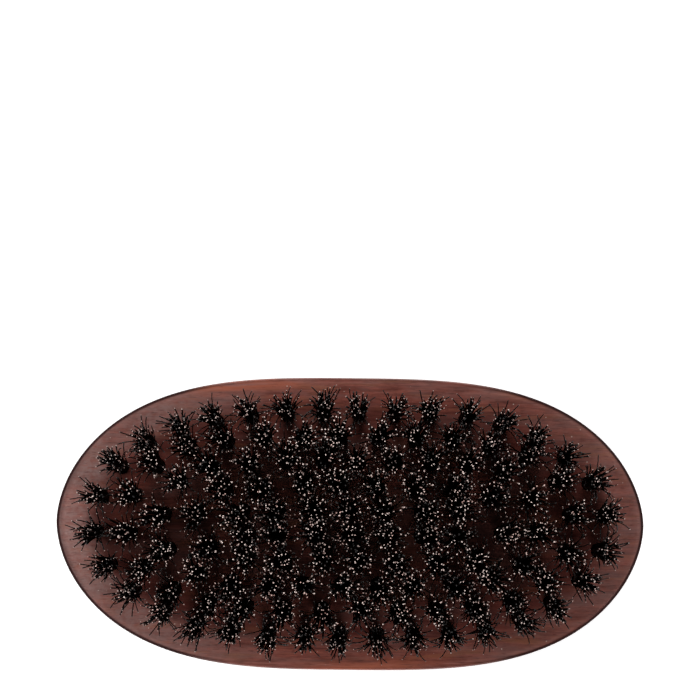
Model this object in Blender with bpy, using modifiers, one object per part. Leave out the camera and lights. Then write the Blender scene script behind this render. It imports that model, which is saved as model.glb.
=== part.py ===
"""An oval palm brush that lies on its back with its bristles up.

Metres, +Z up, +X along the length. The origin is the middle of the flat land on the back,
on the plane that the brush rests on. From the plane up, the brush is the back cover, the
face board with a channel behind each row of its holes, and in each channel a row of
bristle tufts, drawn through the board and held by the wire that runs through their bed.
"""

import math

import bmesh
import bpy
import numpy as np
from mathutils import Matrix, Vector

# The block: its plan is an oval whose ends and sides have their own fullness
LENGTH = 0.100
WIDTH = 0.0496
END_POWER = 3.2
SIDE_POWER = 1.8
OUTLINE_POINTS = 64
ARC_SAMPLES = 1440

# The back cover: a flat land to rest on, with a full round shoulder up to the joint
COVER_THICKNESS = 0.0107
LAND_LENGTH = 0.046
LAND_WIDTH = 0.020
SHOULDER_POWER = 2.3
SHOULDER_STEPS = 7

# The face board: an upright edge, eased to the face by a steep chamfer that is wider at the ends
BOARD_THICKNESS = 0.006
GLUE_LINE = 0.0003
CHAMFER_DEPTH = 0.0014
CHAMFER_AT_ENDS = 0.00085
CHAMFER_AT_SIDES = 0.0003
CHAMFER_POWER = 1.4
CHAMFER_STEPS = 4

# The rows: rings that grow fuller inward, each in two halves, round two straight middle rows
RINGS = 4
END_MARGIN = 0.0069
SIDE_MARGIN = 0.0063
END_ROW_GAP = 0.0058
MIDDLE_ROW_SETBACK = 0.0076
END_POWER_STEP = 0.7
SIDE_POWER_STEP = 0.35
TUFT_PITCH = 0.0062
SIDE_TUFT_SHARE = 0.22
STAGGER_SHARE = 0.5

# The tufts: a packed root in its hole, and strands that spread to the tips
HOLE_DIAMETER = 0.0024
HOLE_SIDES = 8
CLEARANCE = 0.0003
ROOT_RISE = 0.0004
BRISTLE_LENGTH = 0.0145
CROWN_DROP = 0.0008
TUFT_SPREAD = 0.0036
STRAND_TIP_WIDTH = 0.0003
EDGE_LEAN = 0.0006
TUFT_TURN = math.radians(137.5)

# The bed and its wire behind each row, in a channel that takes its share of the gap between rows
WIRE_DIAMETER = 0.0005
WIRE_END = 0.0006
CHANNEL_SHARE = 0.6
BED_WALL = 0.00065
BED_END = 0.0004
CUT_OVERRUN = 0.001

# Edges turned more than this are kept sharp
SHARP_ANGLE = math.radians(35.0)

# Sizes and heights that follow from the sizes above
FIELD_LENGTH = LENGTH / 2 - END_MARGIN
FIELD_WIDTH = WIDTH / 2 - SIDE_MARGIN
ROW_GAP = 2 * FIELD_WIDTH / (2 * RINGS + 1)
BOARD_BACK = COVER_THICKNESS + GLUE_LINE
FACE = BOARD_BACK + BOARD_THICKNESS
BORE = WIRE_DIAMETER + 2 * CLEARANCE
CHANNEL_WIDTH = ROW_GAP * CHANNEL_SHARE
BED_WIDTH = CHANNEL_WIDTH - 2 * CLEARANCE
BED_HEIGHT = BORE + 2 * BED_WALL
BED_TOP = BOARD_BACK + BED_HEIGHT
ROOT_RADIUS = HOLE_DIAMETER / 2 - CLEARANCE
BED_OVERHANG = ROOT_RADIUS + BED_END


def clear_scene():
    """Remove what the startup scene holds."""
    for obj in list(bpy.data.objects):
        bpy.data.objects.remove(obj, do_unlink=True)


def new_collection(name):
    """A collection in the scene."""
    collection = bpy.data.collections.new(name)
    bpy.context.scene.collection.children.link(collection)
    return collection


def finish(name, colour, roughness, metallic=0.0, coat=0.0):
    """A Principled material with the part's own values."""
    material = bpy.data.materials.new(name)
    material.use_nodes = True
    shader = material.node_tree.nodes["Principled BSDF"]
    shader.inputs["Base Color"].default_value = (*colour, 1.0)
    shader.inputs["Roughness"].default_value = roughness
    shader.inputs["Metallic"].default_value = metallic
    shader.inputs["Coat Weight"].default_value = coat
    material.diffuse_color = (*colour, 1.0)
    return material


def add_mesh(name, bm, collection, material=None):
    """The bmesh as a named object, shaded smooth except at its edges."""
    mesh = bpy.data.meshes.new(name)
    bm.to_mesh(mesh)
    bm.free()
    mesh.shade_smooth()
    mesh.set_sharp_from_angle(angle=SHARP_ANGLE)
    obj = bpy.data.objects.new(name, mesh)
    collection.objects.link(obj)
    if material:
        mesh.materials.append(material)
    return obj


def as_cutter(obj):
    """Mark a helper, so that it is never seen as a part of the brush."""
    obj.hide_render = True
    obj.display_type = "WIRE"
    return obj


def boolean(obj, operation, other):
    """Cut from, or join to, the object with an exact Boolean that stays live."""
    modifier = obj.modifiers.new(f"{operation.title()} {other.name}", "BOOLEAN")
    modifier.operation = operation
    modifier.object = other
    modifier.solver = "EXACT"


def oval_points(half_length, half_width, count, first=0.0, ring=0):
    """Even steps round an oval, anticlockwise, the first a share of a step on from its +X end."""
    end_power = END_POWER + END_POWER_STEP * ring
    side_power = SIDE_POWER + SIDE_POWER_STEP * ring
    angles = np.linspace(0.0, 2 * math.pi, ARC_SAMPLES + 1)
    across, along = np.sin(angles), np.cos(angles)
    x = half_length * np.sign(along) * np.abs(along) ** (2 / end_power)
    y = half_width * np.sign(across) * np.abs(across) ** (2 / side_power)
    run = np.concatenate(([0.0], np.cumsum(np.hypot(np.diff(x), np.diff(y)))))
    wanted = (np.arange(count) + first) * run[-1] / count
    return [Vector(point) for point in zip(np.interp(wanted, run, x), np.interp(wanted, run, y))]


def oval_girth(half_length, half_width, ring):
    """The length once round a ring's oval."""
    points = oval_points(half_length, half_width, ARC_SAMPLES, ring=ring)
    return sum((after - before).length for before, after in zip(points, points[1:] + points[:1]))


def oval_solid(name, sections, collection, material):
    """A closed solid extruded through oval sections, each (half length, half width, height)."""
    bm = bmesh.new()
    bmesh.ops.create_circle(bm, cap_ends=True, segments=OUTLINE_POINTS, radius=LENGTH / 2)
    half_length, half_width, height = sections[0]
    for vertex, point in zip(bm.verts, oval_points(half_length, half_width, OUTLINE_POINTS)):
        vertex.co = (*point, height)
    bm.faces.ensure_lookup_table()
    bottom = face = bm.faces[0]
    for before, after in zip(sections, sections[1:]):
        made = bmesh.ops.extrude_face_region(bm, geom=[face])["geom"]
        if face is not bottom:
            bmesh.ops.delete(bm, geom=[face], context="FACES_ONLY")
        face = next(item for item in made if isinstance(item, bmesh.types.BMFace))
        ratio = (after[0] / before[0], after[1] / before[1], 1.0)
        bmesh.ops.scale(bm, verts=face.verts, vec=ratio)
        bmesh.ops.translate(bm, verts=face.verts, vec=(0.0, 0.0, after[2] - before[2]))
    bmesh.ops.recalc_face_normals(bm, faces=bm.faces)
    return add_mesh(name, bm, collection, material)


def quarter_turn(steps, power):
    """Pairs from (0, 1) to (1, 0) round a corner: power 1 is a straight chamfer, 2 a true round."""
    angles = [math.pi / 2 * step / steps for step in range(steps + 1)]
    return [(math.sin(angle) ** (2 / power), max(math.cos(angle), 0.0) ** (2 / power)) for angle in angles]


def back_cover(collection, material):
    """The domed cover: flat land, round shoulder, and a flat top that is glued to the face board."""
    sections = []
    for rise, reach in reversed(quarter_turn(SHOULDER_STEPS, SHOULDER_POWER)):
        grow_length = (LENGTH - LAND_LENGTH) / 2 * reach
        grow_width = (WIDTH - LAND_WIDTH) / 2 * reach
        height = COVER_THICKNESS * (1 - rise)
        sections.append((LAND_LENGTH / 2 + grow_length, LAND_WIDTH / 2 + grow_width, height))
    return oval_solid("back_cover", sections, collection, material)


def face_board(collection, material):
    """The bristle board before it is cut: an upright edge with a softened chamfer up to the face."""
    sections = [(LENGTH / 2, WIDTH / 2, BOARD_BACK)]
    for rise, reach in quarter_turn(CHAMFER_STEPS, CHAMFER_POWER):
        set_in = 1 - reach
        sections.append(
            (
                LENGTH / 2 - CHAMFER_AT_ENDS * set_in,
                WIDTH / 2 - CHAMFER_AT_SIDES * set_in,
                FACE - CHAMFER_DEPTH * (1 - rise),
            )
        )
    return oval_solid("face_board", sections, collection, material)


def ring_halves(ring):
    """The tufts of a ring's upper and lower half, staggered to those of the next ring."""
    half_length = FIELD_LENGTH - ring * END_ROW_GAP
    half_width = FIELD_WIDTH - ring * ROW_GAP
    in_half = round(oval_girth(half_length, half_width, ring) / 2 / TUFT_PITCH)
    first = (in_half / 2 - SIDE_TUFT_SHARE - STAGGER_SHARE * (ring % 2)) % 1
    points = oval_points(half_length, half_width, 2 * in_half, first, ring)
    return points[:in_half], points[in_half:]


def middle_row(place_y):
    """The tufts of one straight row inside the rings."""
    reach = FIELD_LENGTH - (RINGS - 1) * END_ROW_GAP - MIDDLE_ROW_SETBACK
    steps = round(2 * reach / TUFT_PITCH)
    return [Vector((reach * (2 * step / steps - 1), place_y)) for step in range(steps + 1)]


def row_paths():
    """The tufts' places, one list of points for each row, from the -Y side of the brush to the +Y side."""
    upper, lower = zip(*(ring_halves(ring) for ring in range(RINGS)))
    return [*lower, middle_row(-ROW_GAP / 2), middle_row(ROW_GAP / 2), *reversed(upper)]


def lengthened(path, extra):
    """The path with both ends drawn out straight by the extra length."""
    start = path[0] + (path[0] - path[1]).normalized() * extra
    end = path[-1] + (path[-1] - path[-2]).normalized() * extra
    return [start] + path[1:-1] + [end]


def bar(name, paths, bottom, height, width, collection, material=None):
    """Upright ribbons along the paths, given their width by a Solidify modifier."""
    bm = bmesh.new()
    for path in paths:
        verts = [bm.verts.new((*point, bottom)) for point in path]
        edges = [bm.edges.new(pair) for pair in zip(verts, verts[1:])]
        made = bmesh.ops.extrude_edge_only(bm, edges=edges)["geom"]
        raised = [item for item in made if isinstance(item, bmesh.types.BMVert)]
        bmesh.ops.translate(bm, verts=raised, vec=(0.0, 0.0, height))
    bmesh.ops.recalc_face_normals(bm, faces=bm.faces)
    obj = add_mesh(name, bm, collection, material)
    solidify = obj.modifiers.new("Width", "SOLIDIFY")
    solidify.thickness = width
    solidify.offset = 0.0
    solidify.use_even_offset = True
    return obj


def tuft_turn(place):
    """A different turn about its own axis for each tuft, the same for its hole and its root."""
    steps = place.x / TUFT_PITCH + place.y / ROW_GAP
    return TUFT_TURN * steps


def holes_cutter(paths, collection):
    """One pin for each tuft, from inside the channel to beyond the face."""
    bm = bmesh.new()
    bottom, top = BED_TOP, FACE + CUT_OVERRUN
    for place in (point for path in paths for point in path):
        centre = Matrix.Translation((*place, (bottom + top) / 2))
        bmesh.ops.create_cone(
            bm,
            cap_ends=True,
            segments=HOLE_SIDES,
            radius1=HOLE_DIAMETER / 2,
            radius2=HOLE_DIAMETER / 2,
            depth=top - bottom,
            matrix=centre @ Matrix.Rotation(tuft_turn(place), 4, "Z"),
        )
    return as_cutter(add_mesh("tuft_holes", bm, collection))


def grow_strands(bm, root_faces, place):
    """Draw a strand out of each root face to a small tip that leans away from the tuft's axis."""
    across = Vector((place.x / FIELD_LENGTH, place.y / FIELD_WIDTH))
    height = FACE + BRISTLE_LENGTH - CROWN_DROP * min(across.length_squared, 1.0)
    for face in bmesh.ops.extrude_discrete_faces(bm, faces=root_faces)["faces"]:
        middle = face.calc_center_median()
        away = (middle.xy - place).normalized()
        tip = place + away * (TUFT_SPREAD - STRAND_TIP_WIDTH) / 2 + across * EDGE_LEAN
        for vertex in face.verts:
            corner = (vertex.co - middle).xy.normalized() * STRAND_TIP_WIDTH / 2
            vertex.co = (*(tip + corner), height)


def tufts(name, path, collection):
    """The row's roots and strands: every other wedge of a root's end grows into one strand."""
    bm = bmesh.new()
    bottom, top = BED_TOP - BED_WALL / 2, FACE + ROOT_RISE
    for place in path:
        centre = Matrix.Translation((*place, (bottom + top) / 2))
        made = bmesh.ops.create_cone(
            bm,
            cap_ends=True,
            cap_tris=True,
            segments=HOLE_SIDES,
            radius1=ROOT_RADIUS,
            radius2=ROOT_RADIUS,
            depth=top - bottom,
            matrix=centre @ Matrix.Rotation(tuft_turn(place), 4, "Z"),
        )
        bm.normal_update()
        faces = {face for vertex in made["verts"] for face in vertex.link_faces}
        wedges = [face for face in faces if face.normal.z > 0.5]
        wedges.sort(key=lambda face: math.atan2(*(face.calc_center_median().xy - place)))
        grow_strands(bm, wedges[::2], place)
    return as_cutter(add_mesh(name, bm, collection))


def bristle_row(number, path, parts, cutters, material):
    """A row of tufts fused to the hollow bed that lies in the channel behind their holes."""
    bed_path = lengthened(path, BED_OVERHANG)
    row = bar(
        f"bristle_row_{number}", [bed_path], BOARD_BACK, BED_HEIGHT, BED_WIDTH, parts, material
    )
    bore_path = lengthened(path, BED_OVERHANG + CUT_OVERRUN)
    bore = bar(f"wire_bore_{number}", [bore_path], BOARD_BACK + BED_WALL, BORE, BORE, cutters)
    boolean(row, "DIFFERENCE", as_cutter(bore))
    boolean(row, "UNION", tufts(f"tufts_{number}", path, cutters))
    return row


def drawing_wire(number, path, collection, material):
    """The wire through the row's bed, a little longer than the bed at both ends."""
    curve = bpy.data.curves.new(f"drawing_wire_{number}", "CURVE")
    curve.dimensions = "3D"
    curve.bevel_depth = WIRE_DIAMETER / 2
    curve.bevel_resolution = 1
    curve.use_fill_caps = True
    points = lengthened(path, BED_OVERHANG + WIRE_END)
    spline = curve.splines.new("POLY")
    spline.points.add(len(points) - 1)
    for control, point in zip(spline.points, points):
        control.co = (*point, BOARD_BACK + BED_HEIGHT / 2, 1.0)
    curve.materials.append(material)
    wire = bpy.data.objects.new(curve.name, curve)
    collection.objects.link(wire)
    return wire


def cut_board(board, paths, cutters):
    """Cut the channels into the board's back, and the holes through the rest of it."""
    end = BED_OVERHANG + WIRE_END + CLEARANCE
    channels = bar(
        "channels",
        [lengthened(path, end) for path in paths],
        BOARD_BACK - CUT_OVERRUN,
        CUT_OVERRUN + BED_HEIGHT + CLEARANCE,
        CHANNEL_WIDTH,
        cutters,
    )
    boolean(board, "DIFFERENCE", as_cutter(channels))
    boolean(board, "DIFFERENCE", holes_cutter(paths, cutters))


def build_brush():
    """Model every piece of the brush in its place."""
    clear_scene()
    parts = new_collection("palm_brush")
    cutters = new_collection("cutters")
    face_wood = finish("stained_face_wood", (0.135, 0.045, 0.034), 0.5, coat=0.15)
    back_wood = finish("stained_back_wood", (0.110, 0.036, 0.027), 0.42, coat=0.3)
    bristle = finish("black_bristle", (0.012, 0.010, 0.010), 0.5)
    steel = finish("drawn_steel_wire", (0.55, 0.54, 0.52), 0.35, metallic=1.0)

    paths = row_paths()
    back_cover(parts, back_wood)
    cut_board(face_board(parts, face_wood), paths, cutters)
    for number, path in enumerate(paths, start=1):
        bristle_row(number, path, parts, cutters, bristle)
        drawing_wire(number, path, parts, steel)


build_brush()
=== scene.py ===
"""The looks of the palm brush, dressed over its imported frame.

Metres, +Z up, +X along the brush, with the origin in the middle of the flat land that the
brush rests on. New pieces stand for the face board, the back cover and the rows of tufts. The
drawing wires keep their solids and get a finish.
"""

import logging
import math
from collections.abc import Callable, Iterator, Sequence
from contextlib import contextmanager
from dataclasses import dataclass, field
from enum import Enum
from typing import Any

import bmesh
import bpy
import numpy as np
from mathutils import Matrix, Vector


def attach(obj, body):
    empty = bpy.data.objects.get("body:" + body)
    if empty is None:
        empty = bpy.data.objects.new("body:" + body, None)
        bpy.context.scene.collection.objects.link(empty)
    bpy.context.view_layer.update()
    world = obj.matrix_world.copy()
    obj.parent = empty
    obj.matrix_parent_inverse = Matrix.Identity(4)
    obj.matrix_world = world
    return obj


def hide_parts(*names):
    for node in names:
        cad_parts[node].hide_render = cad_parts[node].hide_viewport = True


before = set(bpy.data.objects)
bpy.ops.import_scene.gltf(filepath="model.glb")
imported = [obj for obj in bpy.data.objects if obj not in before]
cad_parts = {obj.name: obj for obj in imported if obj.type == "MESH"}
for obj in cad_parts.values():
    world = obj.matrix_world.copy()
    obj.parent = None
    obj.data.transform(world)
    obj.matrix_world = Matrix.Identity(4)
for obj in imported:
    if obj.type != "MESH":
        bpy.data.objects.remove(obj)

log = logging.getLogger("palm_brush")

MM = 0.001
SEED = 20
GOLDEN_ANGLE = math.radians(137.5)

# What the two boards share: the heights of their joint and of the face, the groove along the
# joint, the points of their plan, and the turn in degrees that keeps an edge sharp
JOINT = 10.85 * MM
FACE = 17.0 * MM
GROOVE = 0.12 * MM
PLAN_POINTS = 256
WOOD_EDGE = 30.0

# A face looks up if its normal rises more than this
UPWARD = 0.5

# Corners nearer to each other than this are merged
WELD = 0.001 * MM

Pair = tuple[float, float]
Triple = tuple[float, float, float]
Colour = Triple


def tint(red: float, green: float, blue: float) -> Colour:
    """Turn a colour as a screen shows it, 0 to 255, into the linear colour that shaders use.

    Args:
        red: The red part.
        green: The green part.
        blue: The blue part.

    Returns:
        The linear colour.
    """
    shares = (part / 255 for part in (red, green, blue))
    return tuple(
        share / 12.92 if share <= 0.04045 else ((share + 0.055) / 1.055) ** 2.4
        for share in shares
    )


# Modelling helpers


class Pick(Enum):
    """What a click selects in edit mode."""

    VERTS = (True, False, False)
    FACES = (False, False, True)


def activate(obj: bpy.types.Object) -> None:
    """Select this object alone and make it the active one.

    Args:
        obj: The object that the next operators act on.
    """
    bpy.ops.object.select_all(action="DESELECT")
    obj.select_set(True)
    bpy.context.view_layer.objects.active = obj


@contextmanager
def editing(obj: bpy.types.Object, pick: Pick = Pick.FACES) -> Iterator[None]:
    """Hold a mesh open in edit mode, with nothing selected at first.

    Args:
        obj: The mesh object.
        pick: What is selected in this mode.

    Returns:
        Nothing, for the length of a with block.
    """
    activate(obj)
    bpy.ops.object.mode_set(mode="EDIT")
    bpy.context.tool_settings.mesh_select_mode = pick.value
    bpy.ops.mesh.select_all(action="DESELECT")
    yield
    bpy.ops.object.mode_set(mode="OBJECT")


def select_faces(obj: bpy.types.Object, wanted: Callable[[bmesh.types.BMFace], bool]) -> None:
    """Select in edit mode the faces that a test picks.

    Args:
        obj: The mesh in edit mode.
        wanted: The test, true for a face to select.
    """
    shape = bmesh.from_edit_mesh(obj.data)
    for face in shape.faces:
        face.select_set(wanted(face))
    shape.select_flush_mode()
    bmesh.update_edit_mesh(obj.data)


def close_normals(obj: bpy.types.Object) -> None:
    """Merge doubles and turn all faces outwards."""
    with editing(obj, Pick.VERTS):
        bpy.ops.mesh.select_all(action="SELECT")
        bpy.ops.mesh.remove_doubles(threshold=WELD)
        bpy.ops.mesh.normals_make_consistent(inside=False)


def cut(obj: bpy.types.Object, cutter: bpy.types.Object) -> None:
    """Cut a shape out of a mesh for good, and remove the cutter.

    Args:
        obj: The mesh that is cut.
        cutter: The shape that is taken away.
    """
    activate(obj)
    modifier = obj.modifiers.new("cut", "BOOLEAN")
    modifier.operation = "DIFFERENCE"
    modifier.solver = "EXACT"
    modifier.object = cutter
    bpy.ops.object.modifier_apply(modifier=modifier.name)
    bpy.data.objects.remove(cutter, do_unlink=True)


def join(pieces: Sequence[bpy.types.Object], name: str) -> bpy.types.Object:
    """Join meshes into the first of them.

    Args:
        pieces: The objects to join.
        name: The name of the result.

    Returns:
        The joined object.
    """
    activate(pieces[0])
    for piece in pieces:
        piece.select_set(True)
    bpy.ops.object.join()
    joined = bpy.context.view_layer.objects.active
    joined.name = joined.data.name = name
    return joined


def placed(name: str, data: bpy.types.ID) -> bpy.types.Object:
    """Put data in the scene as a new object.

    Args:
        name: The object's name.
        data: Its mesh, lamp or camera.

    Returns:
        The object.
    """
    obj = bpy.data.objects.new(name, data)
    bpy.context.collection.objects.link(obj)
    return obj


def shade(obj: bpy.types.Object, degrees: float) -> None:
    """Shade a mesh smooth, but keep the edges that turn more than this sharp."""
    activate(obj)
    bpy.ops.object.shade_smooth_by_angle(angle=math.radians(degrees))


# Shader helpers


class Signal:
    """A number that varies over a surface: a node's output, with Python's arithmetic."""

    def __init__(self, bench: "ShaderBench", socket: bpy.types.NodeSocket) -> None:
        """Keep the socket, and the bench that adds the nodes of an expression."""
        self.bench = bench
        self.socket = socket

    def _math(self, operation: str, *terms: "Signal | float") -> "Signal":
        """Add a Math node.

        Args:
            operation: The node's operation.
            terms: Its inputs in order.

        Returns:
            The node's output.
        """
        settings = {"operation": operation}
        node = self.bench.node("ShaderNodeMath", settings, dict(enumerate(terms)))
        return Signal(self.bench, node.outputs[0])

    def __add__(self, other: "Signal | float") -> "Signal":
        """Self plus other."""
        return self._math("ADD", self, other)

    def __radd__(self, other: float) -> "Signal":
        """Other plus self."""
        return self._math("ADD", other, self)

    def __sub__(self, other: "Signal | float") -> "Signal":
        """Self minus other."""
        return self._math("SUBTRACT", self, other)

    def __rsub__(self, other: float) -> "Signal":
        """Other minus self."""
        return self._math("SUBTRACT", other, self)

    def __mul__(self, other: "Signal | float") -> "Signal":
        """Self times other."""
        return self._math("MULTIPLY", self, other)

    def __truediv__(self, other: "Signal | float") -> "Signal":
        """Self over other."""
        return self._math("DIVIDE", self, other)

    def __pow__(self, other: float) -> "Signal":
        """Self to a power."""
        return self._math("POWER", self, other)

    def __abs__(self) -> "Signal":
        """Self without its sign."""
        return self._math("ABSOLUTE", self)

    def or_more(self, other: "Signal | float") -> "Signal":
        """The larger of self and other."""
        return self._math("MAXIMUM", self, other)

    def ease(self, start: float, end: float) -> "Signal":
        """Rise smoothly from 0 to 1 as self goes from start to end.

        Args:
            start: Where the result is 0. It may be above the end.
            end: Where the result is 1.

        Returns:
            The eased number.
        """
        rising = start < end
        low, high = (start, end) if rising else (end, start)
        node = self.bench.node(
            "ShaderNodeMapRange",
            {"interpolation_type": "SMOOTHSTEP"},
            {"Value": self, "From Min": low, "From Max": high},
        )
        eased = Signal(self.bench, node.outputs["Result"])
        return eased if rising else 1 - eased


class ShaderBench:
    """A material or world under construction: adds nodes and wires them."""

    def __init__(self, tree: bpy.types.NodeTree) -> None:
        """Start on a node tree."""
        self.tree = tree

    @classmethod
    def material(cls, name: str) -> tuple["ShaderBench", bpy.types.Material]:
        """Start a new material with no nodes.

        Args:
            name: The material's name.

        Returns:
            The bench and the material.
        """
        material = bpy.data.materials.new(name)
        material.use_nodes = True
        material.node_tree.nodes.clear()
        return cls(material.node_tree), material

    def node(
        self,
        kind: str,
        settings: dict[str, Any] | None = None,
        inputs: dict[str | int, Any] | None = None,
    ) -> bpy.types.Node:
        """Add a node.

        Args:
            kind: The node's type.
            settings: Its own settings, which are set first. A ramp's are under "stops".
            inputs: For each socket, by name or number, a value, a socket or a Signal.

        Returns:
            The new node.
        """
        node = self.tree.nodes.new(kind)
        for key, value in (settings or {}).items():
            if key == "stops":
                self._set_stops(node.color_ramp, value)
            else:
                setattr(node, key, value)
        for key, value in (inputs or {}).items():
            socket = node.inputs[key]
            if isinstance(value, Signal):
                value = value.socket
            if isinstance(value, bpy.types.NodeSocket):
                self.tree.links.new(value, socket)
            elif socket.type == "RGBA" and len(value) == 3:
                socket.default_value = (*value, 1.0)
            else:
                socket.default_value = value
        return node

    @staticmethod
    def _set_stops(ramp: bpy.types.ColorRamp, stops: Sequence[tuple[float, Colour]]) -> None:
        """Give a ramp its stops.

        Args:
            ramp: The ramp of a Color Ramp node.
            stops: For each stop, its place and colour.
        """
        while len(ramp.elements) < len(stops):
            ramp.elements.new(1.0)
        for element, (place, colour) in zip(ramp.elements, stops):
            element.position = place
            element.color = (*colour, 1.0)

    def place(
        self, scale: Triple = (1.0, 1.0, 1.0), start: Triple = (0.0, 0.0, 0.0)
    ) -> bpy.types.NodeSocket:
        """The point on the piece in millimetres, stretched and shifted for a pattern.

        Args:
            scale: How much each axis is stretched after it is in millimetres.
            start: What is added last.

        Returns:
            The vector socket.
        """
        coordinates = self.node("ShaderNodeTexCoord").outputs["Object"]
        mapping = self.node(
            "ShaderNodeMapping",
            {"vector_type": "POINT"},
            {
                "Vector": coordinates,
                "Scale": tuple(axis / MM for axis in scale),
                "Location": start,
            },
        )
        return mapping.outputs["Vector"]

    def axes(self, vector: bpy.types.NodeSocket) -> tuple[Signal, Signal, Signal]:
        """The three parts of a vector.

        Args:
            vector: The vector socket.

        Returns:
            Its X, Y and Z.
        """
        parts = self.node("ShaderNodeSeparateXYZ", inputs={"Vector": vector})
        return tuple(Signal(self, socket) for socket in parts.outputs)

    def noise(
        self,
        scale: Triple,
        start: Triple = (0.0, 0.0, 0.0),
        detail: float = 2.0,
        roughness: float = 0.5,
    ) -> Signal:
        """Cloudy noise, about 0.5 in the middle.

        Args:
            scale: How many of its cells fit in a millimetre along each axis.
            start: Where in its cells the origin lies.
            detail: How many finer layers it has.
            roughness: How strong the finer layers are.

        Returns:
            The noise.
        """
        place = self.place(scale, start)
        node = self.node(
            "ShaderNodeTexNoise",
            {"noise_dimensions": "3D"},
            {"Vector": place, "Scale": 1.0, "Detail": detail, "Roughness": roughness},
        )
        return Signal(self, node.outputs[0])

    def dots(
        self, radius: float, share: float, scale: Triple, start: Triple = (0.0, 0.0, 0.0)
    ) -> Signal:
        """Small round spots, one in a cell.

        Args:
            radius: A spot's radius in cells.
            share: The share of the cells that have a spot.
            scale: How many cells fit in a millimetre along each axis.
            start: Where in the cells the origin lies.

        Returns:
            1 in a spot and 0 outside.
        """
        inputs = {"Vector": self.place(scale, start), "Scale": 1.0}
        node = self.node("ShaderNodeTexVoronoi", {"feature": "F1"}, inputs)
        red, _, _ = self.axes(node.outputs["Color"])
        near = Signal(self, node.outputs["Distance"]).ease(radius, radius / 2)
        blur = 0.01
        return near * red.ease(share + blur, share - blur)

    def mix(
        self,
        factor: Signal | float,
        first: bpy.types.NodeSocket | Colour,
        second: bpy.types.NodeSocket | Colour,
        blend: str = "MIX",
    ) -> bpy.types.NodeSocket:
        """Blend two colours.

        Args:
            factor: How much of the second is used.
            first: The colour beneath.
            second: The colour on top.
            blend: The Mix node's way to blend.

        Returns:
            The colour socket.
        """
        # The sockets go by number, because this node has several of each name
        node = self.node(
            "ShaderNodeMix",
            {"data_type": "RGBA", "blend_type": blend, "clamp_factor": True},
            {0: factor, 6: first, 7: second},
        )
        return node.outputs[2]

    def attribute(self, name: str) -> Signal:
        """A number that the mesh carries.

        Args:
            name: The attribute's name.

        Returns:
            The number.
        """
        settings = {"attribute_type": "GEOMETRY", "attribute_name": name}
        node = self.node("ShaderNodeAttribute", settings)
        return Signal(self, node.outputs["Fac"])

    def bump(self, height: Signal, strength: float, depth: float) -> bpy.types.NodeSocket:
        """Relief for a shader's Normal.

        Args:
            height: The relief, from 0 to 1.
            strength: How strong it is.
            depth: How deep it is, in metres.

        Returns:
            The normal socket.
        """
        node = self.node(
            "ShaderNodeBump", inputs={"Height": height, "Strength": strength, "Distance": depth}
        )
        return node.outputs["Normal"]

    def surface(self, **sockets: Any) -> None:
        """Finish the material with a Principled shader.

        Args:
            sockets: For each of its sockets, with _ for a space, a value or a link.
        """
        inputs = {name.replace("_", " "): value for name, value in sockets.items()}
        shader = self.node("ShaderNodeBsdfPrincipled", inputs=inputs)
        self.node("ShaderNodeOutputMaterial", inputs={"Surface": shader.outputs["BSDF"]})


@dataclass(frozen=True)
class Rise:
    """A smooth rise: 0 where a number is at the start, and the strength from the end on."""

    start: float
    end: float
    strength: float = 1.0

    def of(self, signal: Signal) -> Signal:
        """How far a number has risen."""
        eased = signal.ease(self.start, self.end)
        return eased if self.strength == 1.0 else eased * self.strength


@dataclass(frozen=True)
class Noise:
    """A pattern of noise, with the rise that says where it shows and how strongly."""

    scale: Triple
    rise: Rise = Rise(0.35, 0.65)
    start: Triple = (0.0, 0.0, 0.0)
    detail: float = 3.0
    roughness: float = 0.6

    def read(self, bench: ShaderBench, start: Triple | None = None) -> Signal:
        """Read the pattern.

        Args:
            bench: The material's bench.
            start: Another start than its own.

        Returns:
            How strongly it shows.
        """
        noise = bench.noise(self.scale, start or self.start, self.detail, self.roughness)
        return self.rise.of(noise)


# The outline and the rows, which all pieces share


@dataclass(frozen=True)
class Oval:
    """The brush's plan: an oval whose ends and sides each have their own fullness."""

    half_length: float = 50.0 * MM
    half_width: float = 24.8 * MM
    end_power: float = 3.2
    side_power: float = 1.8
    samples: int = 7200

    def points(self, count: int) -> list[Pair]:
        """Points at even steps round the oval.

        Args:
            count: How many.

        Returns:
            Their X and Y.
        """
        angles = np.linspace(0.0, 2 * math.pi, self.samples + 1)
        along, across = np.cos(angles), np.sin(angles)
        x = self.half_length * np.sign(along) * np.abs(along) ** (2 / self.end_power)
        y = self.half_width * np.sign(across) * np.abs(across) ** (2 / self.side_power)
        run = np.concatenate(([0.0], np.cumsum(np.hypot(np.diff(x), np.diff(y)))))
        wanted = np.arange(count) * run[-1] / count
        return list(zip(np.interp(wanted, run, x), np.interp(wanted, run, y)))

    def reach(self, bench: ShaderBench) -> Signal:
        """How far out a point is on a surface, as a shader number.

        Args:
            bench: The material's bench.

        Returns:
            1 on the oval, and less inside it.
        """
        x, y, _ = bench.axes(bench.place())
        along = abs(x) / (self.half_length / MM)
        across = abs(y) / (self.half_width / MM)
        return along**self.end_power + across**self.side_power


def corner(steps: int, power: float) -> list[Pair]:
    """Pairs that run from (0, 1) to (1, 0) round a corner.

    Args:
        steps: How many steps they take.
        power: The corner's fullness: 1 is a straight chamfer, and 2 a true round.

    Returns:
        The pairs, each a rise and a reach.
    """
    angles = [math.pi / 2 * step / steps for step in range(steps + 1)]
    return [
        (math.sin(angle) ** (2 / power), max(math.cos(angle), 0.0) ** (2 / power))
        for angle in angles
    ]


@dataclass(frozen=True)
class Level:
    """One level of an oval form: its half length, half width and height."""

    half_length: float
    half_width: float
    height: float


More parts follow.
